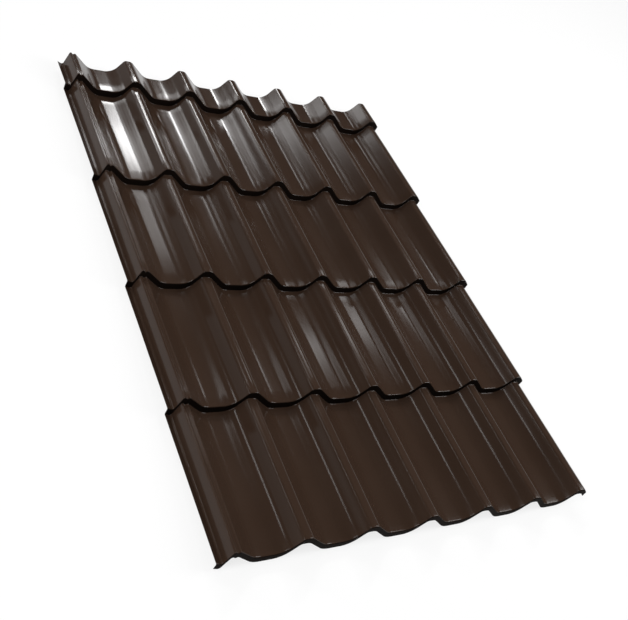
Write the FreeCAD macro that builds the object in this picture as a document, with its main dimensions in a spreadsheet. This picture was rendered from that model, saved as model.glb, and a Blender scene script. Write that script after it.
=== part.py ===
import FreeCAD, Part
import Sketcher
import math
import os
from FreeCAD import Vector

# Tile effect metal roofing sheet
#
# One coated steel sheet, roll formed into waves across its width and pressed into steps along
# its length. X runs across the waves, Y up the roof slope and Z up. The sheet lies on a level
# floor, resting on the foot of every step, and the origin is under the middle of it.

doc = FreeCAD.newDocument("tile_effect_metal_roofing_sheet")

# Driving dimensions, in millimetres and whole numbers of repeats
sizes = {
    # The sheet and its waves
    "thickness": 0.45,
    "wave_count": 6,
    "wave_pitch": 133.0,
    "wave_depth": 35.0,
    "crest_width": 16.0,
    "gentle_run": 42.0,
    "steep_run": 20.5,
    "crest_gentle_radius": 18.0,
    "crest_steep_radius": 7.0,
    "pan_gentle_radius": 36.0,
    "pan_steep_radius": 32.0,
    # The courses, and how the sheet ends at its head and eaves
    "course_count": 4,
    "course_length": 272.0,
    "step_height": 15.0,
    "step_bend": 1.6,
    "landing_length": 20.0,
    "head_length": 77.0,
    "eaves_cut": 1.0,
    # The lap side, which the neighbouring sheet covers
    "lip_run": 12.0,
    "lip_rise": 5.0,
    "lip_radius": 4.0,
    "lap_flank_run": 9.0,
    "lap_peak_offset": 1.5,
    "lap_peak_radius": 3.0,
    "groove_run": 5.0,
    "groove_depth": 2.5,
    "groove_radius": 2.5,
    "shoulder_drop": 4.0,
    "shoulder_radius": 3.0,
    # The flange side, which covers the next sheet's lap side
    "flange_run": 16.0,
    "flange_drop": 13.0,
}

sheet = doc.addObject("Spreadsheet::Sheet", "Sizes")
for row, (alias, value) in enumerate(sizes.items(), start=1):
    sheet.set(f"A{row}", alias)
    sheet.set(f"B{row}", str(value))
    sheet.setAlias(f"B{row}", alias)
doc.recompute()

body = doc.addObject("PartDesign::Body", "RoofingSheet")
body.Label = "roofing_sheet"


def origin_feature(role):
    """The plane or axis of the body's own origin that has this role."""
    return next(item for item in body.Origin.OriginFeatures if item.Role == role)


# Formulas shared by the sections, measured from the middle of the first crest at pan level
PAN_MIDDLE = "(Sizes.wave_pitch + Sizes.gentle_run - Sizes.steep_run) / 2"
CREST_EDGE = "Sizes.crest_width / 2"
LAST_CREST = "Sizes.wave_count * Sizes.wave_pitch"
LAP_PEAK = "Sizes.lap_peak_offset"
TROUGH = f"{LAP_PEAK} - Sizes.lap_flank_run"
SHOULDER = f"{CREST_EDGE} + Sizes.shoulder_drop * Sizes.gentle_run / Sizes.wave_depth"
SHOULDER_TOP = "Sizes.wave_depth - Sizes.shoulder_drop"
BLANK_BOTTOM = "-2 * Sizes.step_height"
EAVES_DROP = "(Sizes.step_height - Sizes.eaves_cut)"

# Two places closer than this, in millimetres, are the same place
SAME_PLACE = 1e-4


def crest_corners(middle):
    """Corners of one crest about its middle: steep flank, rounded top, gentle flank."""
    return [
        (f"{middle} - {CREST_EDGE} - Sizes.steep_run", "0", "Sizes.pan_steep_radius"),
        (f"{middle} - {CREST_EDGE}", "Sizes.wave_depth", "Sizes.crest_steep_radius"),
        (f"{middle} + {CREST_EDGE}", "Sizes.wave_depth", "Sizes.crest_gentle_radius"),
    ]


def foot_corner(middle):
    """Corner where the gentle flank of a crest runs out into the pan."""
    return (f"{middle} + {CREST_EDGE} + Sizes.gentle_run", "0", "Sizes.pan_gentle_radius")


# Top outline of the three strips that make up the width, from left to right
STRIPS = {
    "Lap": [
        (f"{TROUGH} - Sizes.lip_run", "Sizes.lip_rise", None),
        (TROUGH, "0", "Sizes.lip_radius"),
        (LAP_PEAK, "Sizes.wave_depth", "Sizes.lap_peak_radius"),
        (f"{SHOULDER} - Sizes.groove_run", f"{SHOULDER_TOP} - Sizes.groove_depth",
         "Sizes.groove_radius"),
        (SHOULDER, SHOULDER_TOP, "Sizes.shoulder_radius"),
        foot_corner("0"),
        (PAN_MIDDLE, "0", None),
    ],
    "Wave": [
        (PAN_MIDDLE, "0", None),
        *crest_corners("Sizes.wave_pitch"),
        foot_corner("Sizes.wave_pitch"),
        (f"{PAN_MIDDLE} + Sizes.wave_pitch", "0", None),
    ],
    "Flange": [
        (f"{PAN_MIDDLE} + {LAST_CREST} - Sizes.wave_pitch", "0", None),
        *crest_corners(LAST_CREST),
        (f"{LAST_CREST} + {CREST_EDGE} + Sizes.flange_run",
         "Sizes.wave_depth - Sizes.flange_drop", None),
    ],
}


def rounded_outline(name, plane, corners):
    """A closed sketch on an origin plane, through corners given as (across, up, radius)."""
    sketch = body.newObject("Sketcher::SketchObject", name)
    sketch.AttachmentSupport = [(origin_feature(plane), "")]
    sketch.MapMode = "FlatFace"
    at = [Vector(float(sketch.evalExpression(x)), float(sketch.evalExpression(z)), 0)
          for x, z, _ in corners]
    radius = [float(sketch.evalExpression(r)) if r else 0.0 for _, _, r in corners]
    count = len(corners)

    # Where each corner's arc begins and ends on its two sides
    leave, reach, centre = [], [], []
    for i in range(count):
        back = (at[i - 1] - at[i]).normalize()
        ahead = (at[(i + 1) % count] - at[i]).normalize()
        half_turn = (math.pi - back.getAngle(ahead)) / 2
        setback = radius[i] * math.tan(half_turn)
        reach.append(at[i] + back * setback)
        leave.append(at[i] + ahead * setback)
        inward = (back + ahead).normalize()
        centre.append(at[i] + inward * (radius[i] / math.cos(half_turn)))

    sides = [sketch.addGeometry(Part.LineSegment(leave[i], reach[(i + 1) % count]))
             for i in range(count)]
    for i, (x, z, r) in enumerate(corners):
        before, after = sides[i - 1], sides[i]
        if r:
            middle = centre[i] + (at[i] - centre[i]).normalize() * radius[i]
            arc = sketch.addGeometry(Part.Arc(reach[i], middle, leave[i]))
            turn = (at[i] - at[i - 1]).cross(at[(i + 1) % count] - at[i]).z
            first, last = (1, 2) if turn > 0 else (2, 1)
            corner = sketch.addGeometry(Part.Point(at[i]), True)
            sketch.addConstraint([
                Sketcher.Constraint("Tangent", before, 2, arc, first),
                Sketcher.Constraint("Tangent", arc, last, after, 1),
                Sketcher.Constraint("PointOnObject", corner, 1, before),
                Sketcher.Constraint("PointOnObject", corner, 1, after),
            ])
            bend = sketch.addConstraint(Sketcher.Constraint("Radius", arc, radius[i]))
            sketch.setExpression(f"Constraints[{bend}]", r)
            anchor = (corner, 1)
        else:
            sketch.addConstraint(Sketcher.Constraint("Coincident", before, 2, after, 1))
            anchor = (after, 1)
        across = sketch.addConstraint(Sketcher.Constraint("DistanceX", -1, 1, *anchor, at[i].x))
        sketch.setExpression(f"Constraints[{across}]", x)
        up = sketch.addConstraint(Sketcher.Constraint("DistanceY", -1, 1, *anchor, at[i].y))
        sketch.setExpression(f"Constraints[{up}]", z)
    return sketch


def section(name, strip, drop):
    """The blank's section under one strip of the outline, lowered by a drop."""
    outline = [(x, f"{z} - {drop}", r) for x, z, r in STRIPS[strip]]
    left, right = outline[0][0], outline[-1][0]
    floor = [(right, BLANK_BOTTOM, None), (left, BLANK_BOTTOM, None)]
    return rounded_outline(name, "XZ_Plane", outline + floor)


def repeat_waves(name, features):
    """Repeats one wave's features over the crests between the first and the last."""
    pattern = body.newObject("PartDesign::LinearPattern", name)
    pattern.Originals = features
    pattern.Direction = (origin_feature("X_Axis"), [""])
    pattern.Mode = "Spacing"
    pattern.setExpression("Offset", "Sizes.wave_pitch")
    pattern.setExpression("Occurrences", "Sizes.wave_count - 1")
    body.Tip = pattern
    doc.recompute()


def flat_on(item, axis, place):
    """True for a face or edge that lies at this place along the axis X, Y or Z."""
    box = item.BoundBox
    low, high = getattr(box, axis + "Min"), getattr(box, axis + "Max")
    return abs(low - place) < SAME_PLACE and abs(high - place) < SAME_PLACE


def nose_edges(place):
    """Names of the edges across the sheet where a course turns down, on this face of the step."""
    shape = body.Shape
    found = []
    for number, edge in enumerate(shape.Edges, start=1):
        if flat_on(edge, "Y", place):
            for face in shape.ancestorsOfType(edge, Part.Face):
                if face.BoundBox.YMin > place - SAME_PLACE and not flat_on(face, "Y", place):
                    found.append(f"Edge{number}")
                    break
    return found


def break_nose(name, place, leg):
    """Breaks the sharp nose of the step on one side of the sheet."""
    edges = nose_edges(place)
    last = body.Tip
    nose = body.newObject("PartDesign::Chamfer", name)
    nose.Base = (last, edges)
    nose.setExpression("Size", leg)
    body.Tip = nose
    doc.recompute()


# The blank of one step: a course of tiles, and the upper end of the course below it
for strip in STRIPS:
    course = body.newObject("PartDesign::Pad", f"{strip}Course")
    course.Profile = section(f"{strip}CourseSection", strip, "0")
    course.Reversed = True
    course.setExpression("Length", "Sizes.course_length - Sizes.landing_length")
    landing = body.newObject("PartDesign::Pad", f"{strip}Landing")
    landing.Profile = section(f"{strip}LandingSection", strip, "Sizes.step_height")
    landing.setExpression("Length", "Sizes.landing_length")
    body.Tip = landing
    doc.recompute()
    if strip == "Wave":
        repeat_waves("Waves", [course, landing])

# Thinned to sheet: of the solid blank only the skin under the tile surface stays
blank = body.Tip
box = blank.Shape.BoundBox
sides = [("X", box.XMin), ("X", box.XMax), ("Y", box.YMin), ("Y", box.YMax), ("Z", box.ZMin)]
open_faces = [
    f"Face{number}"
    for number, face in enumerate(blank.Shape.Faces, start=1)
    if any(flat_on(face, axis, place) for axis, place in sides)
]
skin = body.newObject("PartDesign::Thickness", "Skin")
skin.Base = (blank, open_faces)
skin.setExpression("Value", "Sizes.thickness")
skin.Reversed = True
skin.Join = "Intersection"
body.Tip = skin
doc.recompute()

# The nose of the step, inside first, so that the wall is never cut through
break_nose("NoseInside", sizes["thickness"], "Sizes.step_bend - (2 - sqrt(2)) * Sizes.thickness")
break_nose("NoseOutside", 0, "Sizes.step_bend")

# Each step is one step height lower than the one above it
stair_line = body.newObject("Sketcher::SketchObject", "StairLine")
stair_line.AttachmentSupport = [(origin_feature("YZ_Plane"), "")]
stair_line.MapMode = "FlatFace"
rise_end = Vector(sizes["course_length"], sizes["step_height"], 0)
line = stair_line.addGeometry(Part.LineSegment(Vector(0, 0, 0), rise_end), True)
stair_line.addConstraint(Sketcher.Constraint("Coincident", line, 1, -1, 1))
along = stair_line.addConstraint(Sketcher.Constraint("DistanceX", line, 1, line, 2, rise_end.x))
stair_line.setExpression(f"Constraints[{along}]", "Sizes.course_length")
up = stair_line.addConstraint(Sketcher.Constraint("DistanceY", line, 1, line, 2, rise_end.y))
stair_line.setExpression(f"Constraints[{up}]", "Sizes.step_height")

stair = body.newObject("PartDesign::LinearPattern", "Courses")
stair.TransformMode = "Whole shape"
stair.Direction = (stair_line, ["Axis0"])
stair.Mode = "Spacing"
stair.setExpression("Offset", "sqrt(Sizes.course_length ^ 2 + Sizes.step_height ^ 2)")
stair.setExpression("Occurrences", "Sizes.course_count + 1")
body.Tip = stair
doc.recompute()

# The eaves edge is cut along the waves a little above the foot of the lowest step
for strip in STRIPS:
    trim = body.newObject("PartDesign::Pocket", f"{strip}EavesTrim")
    trim.Profile = section(f"{strip}EavesSection", strip, EAVES_DROP)
    trim.Midplane = True
    trim.setExpression("Length", "2 * Sizes.landing_length")
    body.Tip = trim
    doc.recompute()
    if strip == "Wave":
        repeat_waves("EavesTrims", [trim])

# The head of the sheet is cut square a short way above the last step
head_cut = "Sizes.course_count * Sizes.course_length + Sizes.head_length"
head_end = "(Sizes.course_count + 1) * Sizes.course_length"
head_top = "(Sizes.course_count + 1) * Sizes.step_height + Sizes.wave_depth"
head = body.newObject("PartDesign::Pocket", "HeadTrim")
head.Profile = rounded_outline("HeadSection", "YZ_Plane", [
    (head_cut, "0", None),
    (head_end, "0", None),
    (head_end, head_top, None),
    (head_cut, head_top, None),
])
head.Type = "ThroughAll"
head.Midplane = True
body.Tip = head
doc.recompute()

# Tilted until the feet of the steps are level, and set down with its middle over the origin
tilt = math.degrees(math.atan2(sizes["step_height"], sizes["course_length"]))
body.Placement = FreeCAD.Placement(Vector(0, 0, 0), FreeCAD.Rotation(Vector(1, 0, 0), -tilt))
doc.recompute()
box = body.Shape.optimalBoundingBox(False)
body.Placement.Base = Vector(-box.Center.x, -box.Center.y, -box.ZMin)
doc.recompute()

# Checks before anything is written
for item in doc.Objects:
    if "Invalid" in item.State or "Error" in item.State:
        raise RuntimeError(f"{item.Label} failed: {item.State}")
if body.Shape.isNull() or not body.Shape.isValid() or len(body.Shape.Solids) != 1:
    raise RuntimeError("The roofing sheet is not one valid solid")

os.makedirs("parts", exist_ok=True)
body.Shape.exportStep(f"parts/{body.Label}.step")

size = body.Shape.optimalBoundingBox(False)
print(f"width {size.XLength:.1f}, length {size.YLength:.1f}, height {size.ZLength:.1f} mm")
print(f"volume {body.Shape.Volume / 1000:.1f} cm3, faces {len(body.Shape.Faces)}")
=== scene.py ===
# %% [markdown]
# A tile effect roofing sheet is one thin coated steel sheet that imitates courses of clay
# pantiles. A roll former bends the waves across its width, and a press then sets the steps
# along its length. This lesson rebuilds that sheet as one smooth surface over the exact model.
# The exact model comes in first, because every piece has to match its place and size.

# %% Load the exact model
import math

import bpy
import numpy as np
from mathutils import Matrix, Vector


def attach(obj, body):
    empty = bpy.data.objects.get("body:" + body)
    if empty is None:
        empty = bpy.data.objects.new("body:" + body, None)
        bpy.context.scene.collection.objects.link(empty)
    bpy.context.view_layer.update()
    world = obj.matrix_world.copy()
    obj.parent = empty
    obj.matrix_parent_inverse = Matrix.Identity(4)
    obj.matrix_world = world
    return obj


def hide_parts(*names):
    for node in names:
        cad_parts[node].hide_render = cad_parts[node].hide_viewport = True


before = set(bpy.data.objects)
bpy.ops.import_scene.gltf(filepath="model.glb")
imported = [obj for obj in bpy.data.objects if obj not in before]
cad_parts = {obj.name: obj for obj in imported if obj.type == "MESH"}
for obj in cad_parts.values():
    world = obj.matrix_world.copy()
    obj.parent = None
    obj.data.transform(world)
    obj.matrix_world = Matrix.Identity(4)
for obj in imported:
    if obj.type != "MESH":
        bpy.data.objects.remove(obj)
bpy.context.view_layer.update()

MM = 0.001

# %% [markdown]
# The waves are the same all the way across, apart from the two sides: the left one ends in a
# lip and a groove that a neighbour laps over, and the right one in a short flange that laps
# the next sheet. Each bend is a round between two straight runs, so a section is best given as
# corners with a radius each, the way the rolls that form it are drawn. Straights joined by
# tangent arcs reflect as the real sheet does, with long even highlights.

# %% Sizes of the sheet
THICKNESS = 0.45 * MM
WAVES = 6
PITCH = 133 * MM
DEPTH = 35 * MM
CREST = 16 * MM
GENTLE_RUN = 42 * MM
STEEP_RUN = 20.5 * MM
COURSES = 4
COURSE = 272 * MM
STEP = 15 * MM
HEAD = 77 * MM
TURNDOWN = 14 * MM
NOSE_RADIUS = 2.4 * MM
FOOT_RADIUS = 1.8 * MM
print("pans across", WAVES, "courses along", COURSES)


# %% A path of straight runs and round bends
def rounded_path(corners, arc_points, spacing):
    """Points along the corners (u, v, radius): each bend is the circle tangent to both of its
    sides, and each straight between two bends is divided evenly at about the given spacing."""
    at = np.array([corner[:2] for corner in corners])
    radius = np.array([corner[2] for corner in corners[1:-1]])
    back, ahead = at[:-2] - at[1:-1], at[2:] - at[1:-1]
    back /= np.linalg.norm(back, axis=1)[:, None]
    ahead /= np.linalg.norm(ahead, axis=1)[:, None]
    half_turn = (math.pi - np.arccos((back * ahead).sum(1))) / 2
    setback = (radius * np.tan(half_turn))[:, None]
    inward = back + ahead
    inward /= np.linalg.norm(inward, axis=1)[:, None]
    centre = at[1:-1] + inward * (radius / np.cos(half_turn))[:, None]
    side = np.sign(np.cross(back, ahead))
    start = at[1:-1] + back * setback - centre
    angle = np.arctan2(start[:, 1], start[:, 0])[:, None]
    sweep = np.linspace(0, 1, arc_points) * (-2 * half_turn * side)[:, None]
    arcs = centre[:, None] + radius[:, None, None] * np.stack(
        [np.cos(angle + sweep), np.sin(angle + sweep)], axis=2)
    ends = [at[:1], *arcs, at[-1:]]
    runs = [ends[0]]
    for before, after in zip(ends, ends[1:]):
        length = np.linalg.norm(after[0] - before[-1])
        parts = max(1, round(length / spacing))
        share = np.linspace(0, 1, parts + 1)[1:-1, None]
        runs += [before[-1] + (after[0] - before[-1]) * share, after]
    return np.concatenate(runs)


# %% The section across the sheet
def crest_corners(middle):
    """Steep flank, round top and gentle flank of the crest whose middle is at this place."""
    left, right = middle - CREST / 2, middle + CREST / 2
    return [(left - STEEP_RUN, 0, 32 * MM), (left, DEPTH, 7 * MM), (right, DEPTH, 18 * MM)]


def pan_corner(middle):
    """Where the gentle flank of that crest runs out into the pan beside it."""
    return (middle + CREST / 2 + GENTLE_RUN, 0, 36 * MM)


shoulder = CREST / 2 + 4 * MM * GENTLE_RUN / DEPTH
lip = (-19.5 * MM, 5 * MM, 0)
lip_foot = (-7.5 * MM, 0, 4 * MM)
lap_crest = (1.5 * MM, DEPTH, 3 * MM)
groove = (shoulder - 5 * MM, DEPTH - 6.5 * MM, 2.5 * MM)
lap_side = [lip, lip_foot, lap_crest, groove, (shoulder, DEPTH - 4 * MM, 3 * MM), pan_corner(0)]
middle_waves = [corner for wave in range(1, WAVES)
                for corner in (*crest_corners(wave * PITCH), pan_corner(wave * PITCH))]
flange_side = [*crest_corners(WAVES * PITCH),
               (WAVES * PITCH + CREST / 2 + 16 * MM, DEPTH - 13 * MM, 0)]
section = rounded_path(lap_side + middle_waves + flange_side, arc_points=9, spacing=9 * MM)
print("section points", len(section))

# %% The steps along the sheet
stair_corners = [(0, -TURNDOWN, 0), (0, 0, NOSE_RADIUS)]
for step in range(1, COURSES + 1):
    stair_corners += [(step * COURSE, (step - 1) * STEP, FOOT_RADIUS),
                      (step * COURSE, step * STEP, NOSE_RADIUS)]
stair_corners.append((COURSES * COURSE + HEAD, COURSES * STEP, 0))
stair = rounded_path(stair_corners, arc_points=7, spacing=26 * MM)
print("stair points", len(stair))


# %% [markdown]
# Rolling and pressing carry every point of the section down the same stair, so the sheet's
# surface is simply section plus stair: a translation surface. Its normal comes from the two
# tangents, and the underside is the same surface one gauge lower along that normal.

# %% The sheet as one surface
SWELL = 0.18 * MM


def tangent(points):
    """Direction of travel along a path of points."""
    return np.gradient(points, axis=0)


def sheet_surface(across, along):
    """Point (i, j) is (across x, along y, across z + along z), and its normal is the cross
    product of the two tangents. A slow swell of a fraction of a millimetre follows, as thin
    sheet has between its waves: the sum of two products of sines of x and y, of unlike length."""
    x, y = np.meshgrid(across[:, 0], along[:, 0], indexing="ij")
    z = across[:, 1][:, None] + along[:, 1][None, :]
    du, dv = tangent(across), tangent(along)
    normal = np.stack([-du[:, 1][:, None] * dv[:, 0][None, :],
                       -du[:, 0][:, None] * dv[:, 1][None, :],
                       du[:, 0][:, None] * dv[:, 0][None, :]], axis=2)
    normal /= np.linalg.norm(normal, axis=2)[:, :, None]
    swell = np.sin(x * 17 + 1.3 * np.sin(y * 9)) * np.sin(y * 23 + x * 5) \
        + 0.6 * np.sin(x * 41 + y * 13) * np.sin(y * 37 + 1)
    z = z + SWELL * swell
    return np.stack([x, y, z], axis=2), normal


top, normal = sheet_surface(section, stair)
under = top - THICKNESS * normal
print("grid", top.shape[:2])

# %% [markdown]
# Lying on a floor, the sheet tips until the feet of its steps are level. The same turn, and a
# shift that puts the middle of its box over the origin, bring the surface onto the exact model.

# %% Lay it on the feet of its steps
lean = math.atan2(STEP, COURSE)
turn = np.array([[1, 0, 0], [0, math.cos(lean), math.sin(lean)],
                 [0, -math.sin(lean), math.cos(lean)]])
top, under = top @ turn.T, under @ turn.T
both = np.concatenate([top.reshape(-1, 3), under.reshape(-1, 3)])
low, high = both.min(0), both.max(0)
shift = -np.array([(low[0] + high[0]) / 2, (low[1] + high[1]) / 2, low[2]])
top, under = top + shift, under + shift
print("surface box", low + shift, high + shift)


# %% [markdown]
# The two surfaces are closed round their rim, so that the sheet is a solid skin with a real
# cut edge. One mesh carries four materials: the coating, the backing coat, the bare rim, and a
# darker coat for the risers and the eaves. The real sheet has one coat there too, and the
# darker one stands for the shade under each nose, which soft studio light would wash out. A
# face of the coating belongs to a riser where the stair climbs steeply.

# %% Close the skin
COAT, BACKING, RIM, RISER = range(4)
RISER_SLOPE = 0.8
CREASE_ANGLE = math.radians(40)


def grid_faces(shape, first, flip):
    """Quads of a grid of points whose numbers start at first, in the order of its rows."""
    index = first + np.arange(shape[0] * shape[1]).reshape(shape)
    quads = np.stack([index[:-1, :-1], index[1:, :-1], index[1:, 1:], index[:-1, 1:]], axis=2)
    quads = quads.reshape(-1, 4)
    return quads[:, ::-1] if flip else quads


def rim_faces(shape, below):
    """Quads from the rim of one grid to the rim of the grid whose numbers start at below."""
    index = np.arange(shape[0] * shape[1]).reshape(shape)
    rim = np.concatenate([index[:, 0], index[-1, 1:], index[-2::-1, -1], index[0, -2::-1]])
    return np.stack([rim[:-1], rim[:-1] + below, rim[1:] + below, rim[1:]], axis=1)


shape = top.shape[:2]
count = shape[0] * shape[1]
coat_faces = grid_faces(shape, 0, False)
back_faces = grid_faces(shape, count, True)
edge_faces = rim_faces(shape, count)
faces = np.concatenate([coat_faces, back_faces, edge_faces])
slots = np.repeat([COAT, BACKING, RIM], [len(coat_faces), len(back_faces), len(edge_faces)])
climbs = np.abs(np.diff(stair[:, 1])) > RISER_SLOPE * np.abs(np.diff(stair[:, 0]))
slots[:len(coat_faces)] = np.tile(np.where(climbs, RISER, COAT), shape[0] - 1)

mesh = bpy.data.meshes.new("roofing_sheet_skin")
mesh.from_pydata(np.concatenate([top.reshape(-1, 3), under.reshape(-1, 3)]), [], faces.tolist())
mesh.polygons.foreach_set("material_index", slots)
mesh.polygons.foreach_set("use_smooth", np.ones(len(slots), bool))
mesh.update()
mesh.set_sharp_from_angle(angle=CREASE_ANGLE)
sheet = bpy.data.objects.new("roofing_sheet_skin", mesh)
bpy.context.scene.collection.objects.link(sheet)
print("faces", len(faces), "triangles", 2 * len(faces), "on risers", np.sum(slots == RISER))


# %% [markdown]
# The coating is a polyester paint baked on in a thin layer. It is glossy but not a mirror: a
# faint orange peel and a film of dust soften what it reflects. All the coats share that
# texture, so it is a node group, with its own scale and strength in each material.

# %% Texture shared by the coats
def coat_texture_group():
    """A group that puts out a fine height and a broad uneven mask from Object coordinates."""
    group = bpy.data.node_groups.new("baked_coat", "ShaderNodeTree")
    group.interface.new_socket("Peel scale", in_out="INPUT", socket_type="NodeSocketFloat")
    group.interface.new_socket("Peel height", in_out="OUTPUT", socket_type="NodeSocketFloat")
    group.interface.new_socket("Dust", in_out="OUTPUT", socket_type="NodeSocketFloat")
    nodes, links = group.nodes, group.links
    inside, outside = nodes.new("NodeGroupInput"), nodes.new("NodeGroupOutput")
    place = nodes.new("ShaderNodeTexCoord")
    peel, dust = nodes.new("ShaderNodeTexNoise"), nodes.new("ShaderNodeTexNoise")
    peel.inputs["Detail"].default_value = 2
    dust.inputs["Scale"].default_value = 7
    dust.inputs["Detail"].default_value = 5
    links.new(place.outputs["Object"], peel.inputs["Vector"])
    links.new(place.outputs["Object"], dust.inputs["Vector"])
    links.new(inside.outputs["Peel scale"], peel.inputs["Scale"])
    links.new(peel.outputs["Fac"], outside.inputs["Peel height"])
    links.new(dust.outputs["Fac"], outside.inputs["Dust"])
    return group


baked_coat = coat_texture_group()
print("shared texture", baked_coat.name, "with", len(baked_coat.nodes), "nodes")


# %% A coat over the shared texture
def coat_material(name, clean, dusty, smooth, rough, peel_scale, peel_depth, shine):
    """A baked coat: colour and roughness run from clean to dusty, over a fine orange peel.
    The shine is the strength of its mirror reflection, where 0.5 is that of common paint."""
    material = bpy.data.materials.new(name)
    material.use_nodes = True
    nodes, links = material.node_tree.nodes, material.node_tree.links
    shader = nodes["Principled BSDF"]
    shader.inputs["Specular IOR Level"].default_value = shine
    texture = nodes.new("ShaderNodeGroup")
    texture.node_tree = baked_coat
    texture.inputs["Peel scale"].default_value = peel_scale
    colour = nodes.new("ShaderNodeMix")
    colour.data_type = "RGBA"
    colour.inputs["A"].default_value = (*clean, 1)
    colour.inputs["B"].default_value = (*dusty, 1)
    gloss = nodes.new("ShaderNodeMapRange")
    gloss.inputs["From Min"].default_value = 0.3
    gloss.inputs["From Max"].default_value = 0.7
    gloss.inputs["To Min"].default_value = smooth
    gloss.inputs["To Max"].default_value = rough
    bump = nodes.new("ShaderNodeBump")
    bump.inputs["Strength"].default_value = 0.3
    bump.inputs["Distance"].default_value = peel_depth
    links.new(texture.outputs["Dust"], colour.inputs["Factor"])
    links.new(texture.outputs["Dust"], gloss.inputs["Value"])
    links.new(texture.outputs["Peel height"], bump.inputs["Height"])
    links.new(colour.outputs["Result"], shader.inputs["Base Color"])
    links.new(gloss.outputs["Result"], shader.inputs["Roughness"])
    links.new(bump.outputs["Normal"], shader.inputs["Normal"])
    return material


# %% [markdown]
# The brown coat is smooth, so its streaks of light are sharp, but its shine is kept low, since
# a stronger one would mirror the pale floor and turn the flanks grey. The backing coat is a
# thin pale primer. The bare rim is zinc coated steel, a dull metal.

# %% Three finishes and the painted shade
brown_coat = coat_material("brown_coat", (0.033, 0.0185, 0.012), (0.040, 0.024, 0.0165),
                           smooth=0.12, rough=0.16, peel_scale=900, peel_depth=0.006 * MM, shine=0.16)
backing_coat = coat_material("backing_coat", (0.20, 0.19, 0.17), (0.25, 0.24, 0.21),
                             smooth=0.5, rough=0.62, peel_scale=700, peel_depth=0.03 * MM, shine=0.4)
# Painted shade: the risers and the eaves turndown get a near black, almost unreflecting coat for the
# shade under each nose, where the real sheet has the brown coat.
riser_painted_shade = coat_material("riser_painted_shade", (0.006, 0.0035, 0.0025), (0.009, 0.006, 0.0045),
                           smooth=0.6, rough=0.7, peel_scale=900, peel_depth=0.01 * MM, shine=0.02)
cut_edge = bpy.data.materials.new("cut_edge")
cut_edge.use_nodes = True
steel = cut_edge.node_tree.nodes["Principled BSDF"]
steel.inputs["Base Color"].default_value = (0.42, 0.42, 0.41, 1)
steel.inputs["Metallic"].default_value = 1
steel.inputs["Roughness"].default_value = 0.42
for material in (brown_coat, backing_coat, cut_edge, riser_painted_shade):
    mesh.materials.append(material)

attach(sheet, "root")
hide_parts("roofing_sheet")
print("finishes", [material.name for material in mesh.materials])


# %% [markdown]
# The floor is a wide sheet of white paper that curves up all round into a low wall, as in a
# studio, so that it stands behind the sheet from every side. A camera ray, or a ray mirrored
# or let through by a surface, sees it mostly as a steady white. The rest is ordinary paper, so
# it still shows the soft shadow of the sheet. The wall stays low, because a high one would be
# mirrored in the flanks.

# %% The shape of the floor
FLAT_REACH, WALL_RADIUS = 13.0, 3.2
ROUND_STEPS, WALL_STEPS = 96, 10
WHITE_SHARE = 0.8


def cove(flat_reach, wall_radius, round_steps, wall_steps):
    """A flat disc that turns up into a quarter round at its rim: the profile is the centre,
    then a quarter circle (reach + r sin t, r - r cos t), and it is turned about the Z axis."""
    angle = np.linspace(0, math.pi / 2, wall_steps)
    out = flat_reach + wall_radius * np.sin(angle)
    up = wall_radius * (1 - np.cos(angle))
    about = np.arange(round_steps) * 2 * math.pi / round_steps
    rings = np.stack([out[:, None] * np.cos(about), out[:, None] * np.sin(about),
                      up[:, None] * np.ones(round_steps)], axis=2)
    points = np.concatenate([[[0, 0, 0]], rings.reshape(-1, 3)])
    index = 1 + np.arange(wall_steps * round_steps).reshape(wall_steps, round_steps)
    beside = np.roll(index, -1, axis=1)
    disc = np.stack([np.zeros_like(index[0]), index[0], beside[0]], axis=1)
    wall = np.stack([index[:-1], index[1:], beside[1:], beside[:-1]], axis=2).reshape(-1, 4)
    return points, disc.tolist() + wall.tolist()


floor_mesh = bpy.data.meshes.new("floor")
floor_points, floor_faces = cove(FLAT_REACH, WALL_RADIUS, ROUND_STEPS, WALL_STEPS)
floor_mesh.from_pydata(floor_points, [], floor_faces)
floor_mesh.polygons.foreach_set("use_smooth", np.ones(len(floor_faces), bool))
floor = bpy.data.objects.new("floor", floor_mesh)
bpy.context.scene.collection.objects.link(floor)
print("floor points", len(floor_points), "faces", len(floor_faces))

# %% White paper
paper = bpy.data.materials.new("paper")
paper.use_nodes = True
nodes, links = paper.node_tree.nodes, paper.node_tree.links
surface = nodes["Principled BSDF"]
surface.inputs["Base Color"].default_value = (0.9, 0.9, 0.9, 1)
surface.inputs["Roughness"].default_value = 0.9
path = nodes.new("ShaderNodeLightPath")
seen, seen_or_mirrored = nodes.new("ShaderNodeMath"), nodes.new("ShaderNodeMath")
share = nodes.new("ShaderNodeMath")
share.operation = "MULTIPLY"
share.inputs[1].default_value = WHITE_SHARE
glow, mix = nodes.new("ShaderNodeEmission"), nodes.new("ShaderNodeMixShader")
links.new(path.outputs["Is Camera Ray"], seen.inputs[0])
links.new(path.outputs["Is Glossy Ray"], seen.inputs[1])
links.new(seen.outputs[0], seen_or_mirrored.inputs[0])
links.new(path.outputs["Is Transmission Ray"], seen_or_mirrored.inputs[1])
links.new(seen_or_mirrored.outputs[0], share.inputs[0])
links.new(share.outputs[0], mix.inputs["Fac"])
links.new(surface.outputs["BSDF"], mix.inputs[1])
links.new(glow.outputs["Emission"], mix.inputs[2])
links.new(mix.outputs["Shader"], nodes["Material Output"].inputs["Surface"])
floor_mesh.materials.append(paper)
print("white share of the paper", WHITE_SHARE)


# %% [markdown]
# Light: a softbox on each side, turned towards the sheet, lights pans and flanks alike. The
# highlights come from strips past the head of the sheet. Five stand in an arc about the line
# of the waves, so every round of the top course mirrors one. The fifth is the brightest, and
# draws the white streak of the first pan. A few more stand farther from that line, and draw
# the soft patches and thin lines of the lower courses. The world adds a little light all round.

# %% A strip of light
FAR, NEAR = 8.0, 3.5


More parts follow.
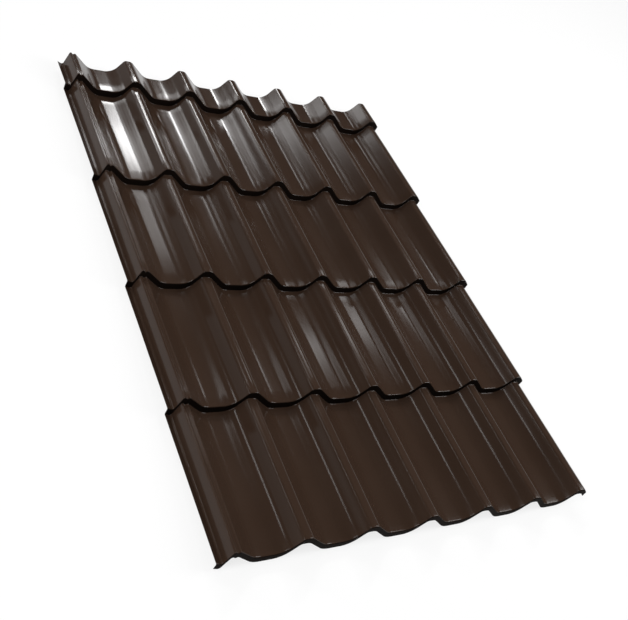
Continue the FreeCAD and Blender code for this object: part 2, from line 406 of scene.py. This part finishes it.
def strip_lamp(name, from_waves, round_waves, thick, span, radiance, distance=FAR):
    """A lamp in the direction given by its angle from the line of the waves (the Y axis) and
    its turn about that line from upright, both in degrees, as are its thickness and span. Its
    energy is its brightness times pi times its area, so that its size doesn't dim it."""
    away, about = math.radians(from_waves), math.radians(round_waves)
    outward = Vector((math.sin(away) * math.sin(about), math.cos(away),
                      math.sin(away) * math.cos(about)))
    across = Vector((0, 1, 0)).cross(outward).normalized()
    lamp = bpy.data.lights.new(name, "AREA")
    lamp.shape = "RECTANGLE"
    lamp.size = 2 * distance * math.sin(away) * math.tan(math.radians(span / 2))
    lamp.size_y = 2 * distance * math.tan(math.radians(thick / 2))
    lamp.energy = radiance * math.pi * lamp.size * lamp.size_y
    holder = bpy.data.objects.new(name, lamp)
    turn = Matrix((across, outward.cross(across), outward)).transposed().to_4x4()
    holder.matrix_world = Matrix.Translation(outward * distance) @ turn
    bpy.context.scene.collection.objects.link(holder)
    return holder


# %% Lights and world
ARC_ANGLE, ARC_LEAN = 38.2, -0.048
WORLD_STRENGTH = 0.06

strip_lamp("left_softbox", 100, -44, 24, 30, 7.5, NEAR)
strip_lamp("right_softbox", 100, 52, 24, 30, 9.5, NEAR)
for number, (turn_about, radiance) in enumerate(((-63, 14), (-39, 11), (-15, 11), (8, 15))):
    from_waves = ARC_ANGLE + ARC_LEAN * turn_about
    strip_lamp(f"key_strip_{number}", from_waves, turn_about, 4, 23, radiance)
strip_lamp("head_strip", 37.3, 27.5, 4.4, 15, 46)
strip_lamp("middle_patch", 44.6, -14, 2.5, 22, 6)
strip_lamp("upper_patch", 44.0, 30, 5, 11, 6)
strip_lamp("low_strip", 58.3, 3, 3.5, 50, 4.5)
strip_lamp("low_patch", 58.2, 46, 3.6, 10, 7)
strip_lamp("side_patch", 67, -57, 11, 7, 9)
world = bpy.data.worlds.new("studio")
bpy.context.scene.world = world
world.use_nodes = True
background = world.node_tree.nodes["Background"]
background.inputs["Color"].default_value = (1, 1, 1, 1)
background.inputs["Strength"].default_value = WORLD_STRENGTH
print("lamps", len(bpy.data.lights))

# %% [markdown]
# The camera stands to the left of the eaves, looks down on the sheet, and is rolled about its
# own axis, which is what sets the long side at a slant in the picture.

# %% Camera
EYE = Vector((-1.0363, -0.9848, 1.1361))
AIM = Vector((-0.0203, -0.0872, 0.0))
ROLL = math.radians(36.38)
SENSOR, LENS = 36, 49.43
camera_data = bpy.data.cameras.new("camera")
camera_data.sensor_width = SENSOR
camera_data.lens = LENS
camera = bpy.data.objects.new("camera", camera_data)
aim_turn = (AIM - EYE).to_track_quat("-Z", "Y").to_matrix()
camera.matrix_world = Matrix.Translation(EYE) @ (aim_turn @ Matrix.Rotation(ROLL, 3, "Z")).to_4x4()
bpy.context.scene.collection.objects.link(camera)
bpy.context.scene.camera = camera
bpy.context.scene.view_settings.view_transform = "Standard"
print("camera at", tuple(EYE), "lens", camera_data.lens)
